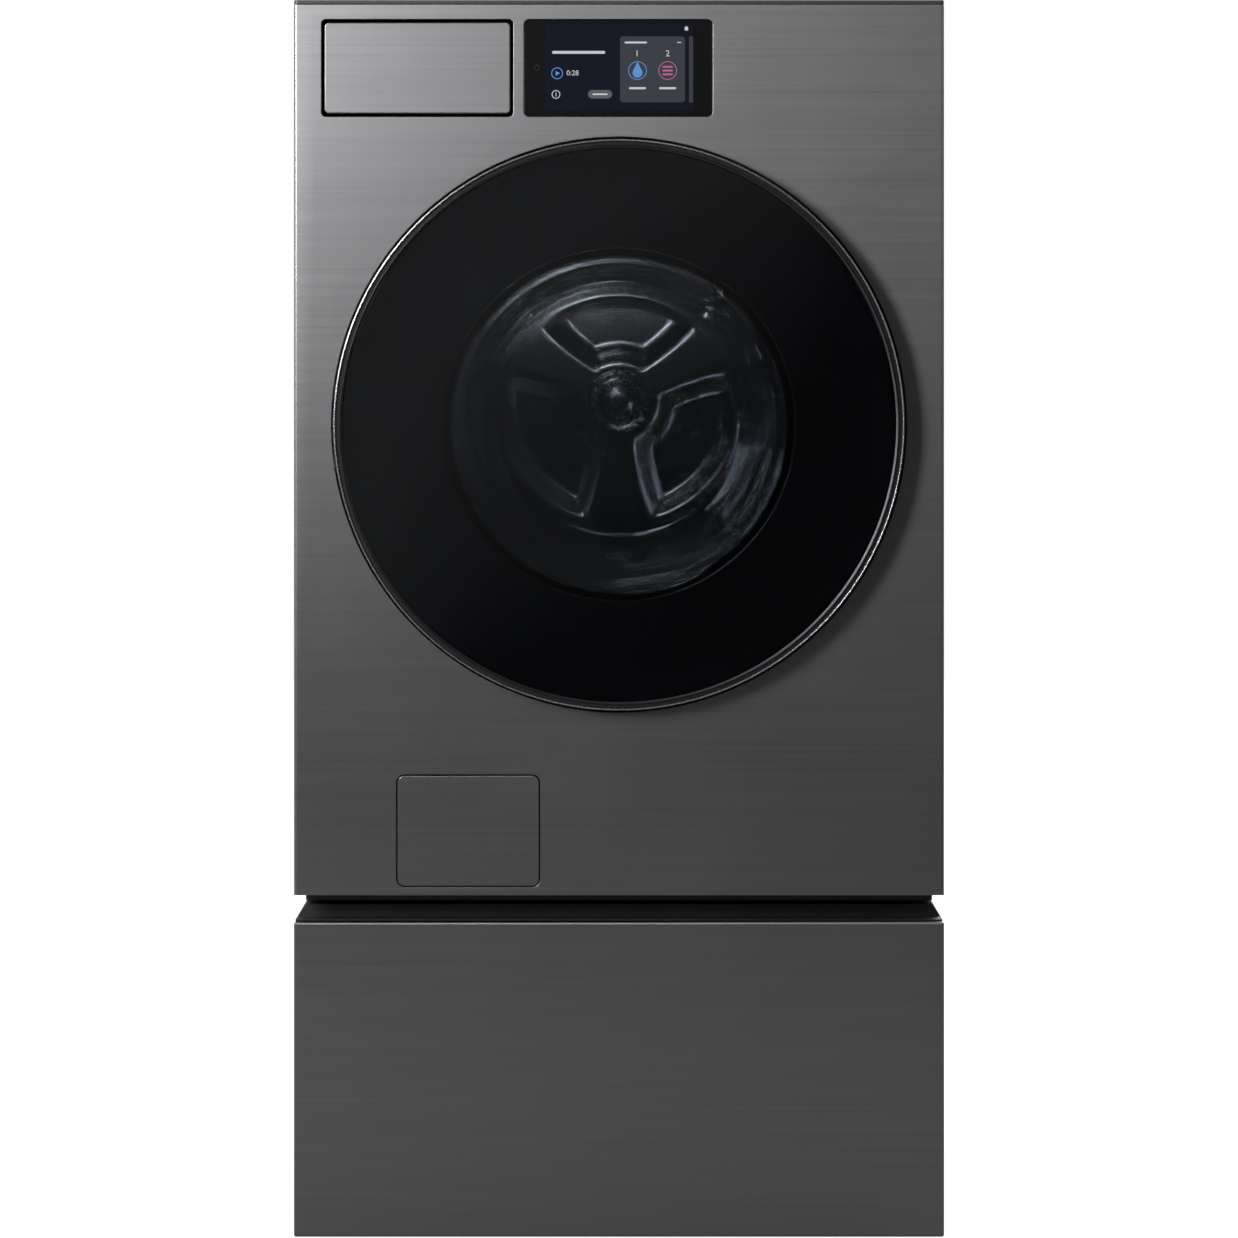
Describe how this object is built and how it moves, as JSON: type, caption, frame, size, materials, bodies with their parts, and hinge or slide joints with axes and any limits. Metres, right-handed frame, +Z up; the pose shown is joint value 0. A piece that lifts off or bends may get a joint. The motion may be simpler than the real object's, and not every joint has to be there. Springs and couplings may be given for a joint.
{
  "type": "washing machine on drawer pedestal",
  "caption": "Front-loading washing machine with a round glass door, dispenser drawer, display and filter flap, standing on a matching storage drawer pedestal.",
  "frame": {"origin": "on the floor under the middle of the whole bounding box, door glass to water inlets", "axes": "+Z up, the front faces -Y, +X to the right seen from the front"},
  "size_m": [0.686, 0.795, 1.32],
  "materials": {
    "stainless_front": "dark stainless sheet with a fine horizontal brushed grain",
    "painted_side": "dark grey satin paint on steel sheet",
    "black_paint": "black satin paint",
    "galvanised_sheet": "zinc-coated sheet and plated steel",
    "door_trim": "bright dark-tinted metal rim",
    "door_glass": "dark tinted tempered glass",
    "bowl_glass": "clear pressed glass bowl",
    "display_black": "gloss black window with a lit screen",
    "black_plastic": "moulded black plastic, fine texture",
    "grey_plastic": "moulded light grey plastic",
    "rubber": "matt grey-black rubber",
    "drum_steel": "bright perforated stainless steel",
    "cast_aluminium": "sand-cast aluminium",
    "cast_weight": "rough cast weight",
    "winding": "copper windings on steel poles"
  },
  "bodies": {
    "cabinet": {"front_panel": "stainless_front", "side_panel_left": "painted_side", "side_panel_right": "painted_side", "top_cover": "painted_side", "pedestal_cabinet": "painted_side", "base_frame": "black_paint", "rear_panel": "galvanised_sheet", "service_cover": "galvanised_sheet", "hinge_bracket": "galvanised_sheet", "spring_left": "galvanised_sheet", "spring_right": "galvanised_sheet", "display_glass": "display_black", "pedestal_top": "black_plastic", "door_lock": "black_plastic", "dispenser_housing": "black_plastic", "drain_pump": "black_plastic", "power_inlet": "black_plastic", "damper_cylinder_left": "black_plastic", "damper_cylinder_right": "black_plastic", "control_board": "grey_plastic", "water_valve": "grey_plastic", "door_gasket": "rubber", "drain_pipe": "rubber", "sump_hose": "rubber", "fill_hose": "rubber", "washer_foot_front_left": "rubber", "washer_foot_front_right": "rubber", "washer_foot_rear_left": "rubber", "washer_foot_rear_right": "rubber", "pedestal_foot_front_left": "rubber", "pedestal_foot_front_right": "rubber", "pedestal_foot_rear_left": "rubber", "pedestal_foot_rear_right": "rubber"},
    "door": {"door_glass": "door_glass", "door_frame": "black_plastic", "door_trim_ring": "door_trim", "door_bowl": "bowl_glass", "door_inner_ring": "grey_plastic", "door_hook": "galvanised_sheet", "door_hinge_arm": "galvanised_sheet"},
    "dispenser_drawer": {"dispenser_front": "stainless_front", "dispenser_tray": "grey_plastic"},
    "filter_flap": {"filter_door": "stainless_front"},
    "filter": {"pump_filter": "grey_plastic"},
    "tub": {"tub_front": "grey_plastic", "tub_rear": "grey_plastic", "counterweight": "cast_weight", "stator": "winding", "damper_rod_left": "galvanised_sheet", "damper_rod_right": "galvanised_sheet"},
    "drum": {"drum_shell": "drum_steel", "drum_spider": "cast_aluminium", "rotor": "galvanised_sheet", "drum_lifter_1": "grey_plastic", "drum_lifter_2": "grey_plastic", "drum_lifter_3": "grey_plastic"},
    "storage_drawer": {"drawer_front": "stainless_front", "drawer_box": "galvanised_sheet"},
    "drawer_runners": {"drawer_runner_left": "galvanised_sheet", "drawer_runner_right": "galvanised_sheet"}
  },
  "joints": [
    {"name": "door_hinge", "type": "hinge", "parent": "cabinet", "child": "door", "pos_m": [-0.292, -0.3845, 0.872], "axis": [0, 0, -1], "range_deg": [0, 110]},
    {"name": "dispenser_slide", "type": "slide", "parent": "cabinet", "child": "dispenser_drawer", "axis": [0, -1, 0], "range_m": [0, 0.22]},
    {"name": "filter_flap_hinge", "type": "hinge", "parent": "cabinet", "child": "filter_flap", "pos_m": [0, -0.3725, 0.393], "axis": [1, 0, 0], "range_deg": [0, 90]},
    {"name": "filter_turn", "type": "hinge", "parent": "cabinet", "child": "filter", "pos_m": [-0.159, -0.3272, 0.4397], "axis": [0, 1, 0], "range_deg": [0, 120]},
    {"name": "tub_float", "type": "slide", "parent": "cabinet", "child": "tub", "axis": [0, 0, 1], "range_m": [-0.01, 0.01], "stiffness_N_per_m": 20000, "springref_m": 0.0218, "deforming": ["spring_left", "spring_right", "sump_hose", "fill_hose", "door_gasket"]},
    {"name": "drum_spin", "type": "hinge", "parent": "tub", "child": "drum", "pos_m": [0, 0.185, 0.892], "axis": [0, 1, 0], "continuous": true},
    {"name": "storage_drawer_slide", "type": "slide", "parent": "cabinet", "child": "storage_drawer", "axis": [0, -1, 0], "range_m": [0, 0.45]},
    {"name": "drawer_runner_slide", "type": "slide", "parent": "cabinet", "child": "drawer_runners", "axis": [0, -1, 0], "range_m": [0, 0.225]}
  ],
  "couplings": [
    {"joint": "drawer_runner_slide", "follows": "storage_drawer_slide", "ratio": 0.5}
  ]
}
